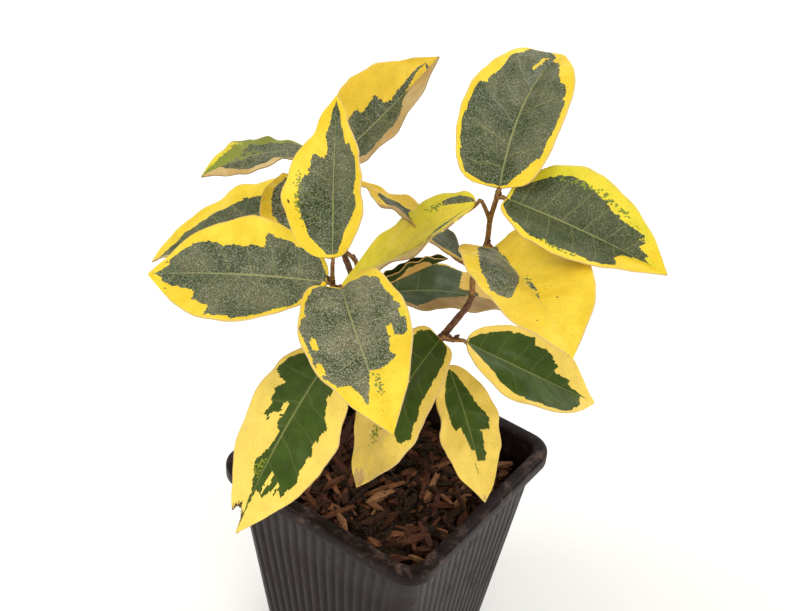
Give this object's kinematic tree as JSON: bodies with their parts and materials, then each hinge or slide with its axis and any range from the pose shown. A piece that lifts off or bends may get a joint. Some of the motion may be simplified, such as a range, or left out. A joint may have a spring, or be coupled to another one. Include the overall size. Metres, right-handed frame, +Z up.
{
  "type": "potted gilt edge elaeagnus",
  "caption": "Young gilt edge elaeagnus with gold-margined evergreen leaves on slender upright stems, in a square black nursery pot filled with bark potting mix.",
  "frame": {"origin": "middle of the flat underside of the pot", "axes": "+Z up along the stem, X and Y along the sides of the square pot"},
  "size_m": [0.1697, 0.1452, 0.2518],
  "materials": {
    "pot": "black ribbed plastic, scuffed on the lip",
    "potting_mix": "damp bark mix with brown chips",
    "bark": "golden brown scaly young bark",
    "foliage": "grey-green and dark green leaves with wide gold margins"
  },
  "bodies": {
    "root": {"pot": "pot", "potting_mix": "potting_mix", "main_stem": "bark", "left_bough": "bark", "back_bough": "bark", "front_left_tuft": "foliage", "right_tuft": "foliage", "back_tuft": "foliage", "low_right_leaves": "foliage", "low_right_leaf": "foliage", "low_left_leaf": "foliage", "low_back_leaves": "foliage", "rear_tuft": "foliage", "low_rear_leaves": "foliage"}
  },
  "joints": []
}
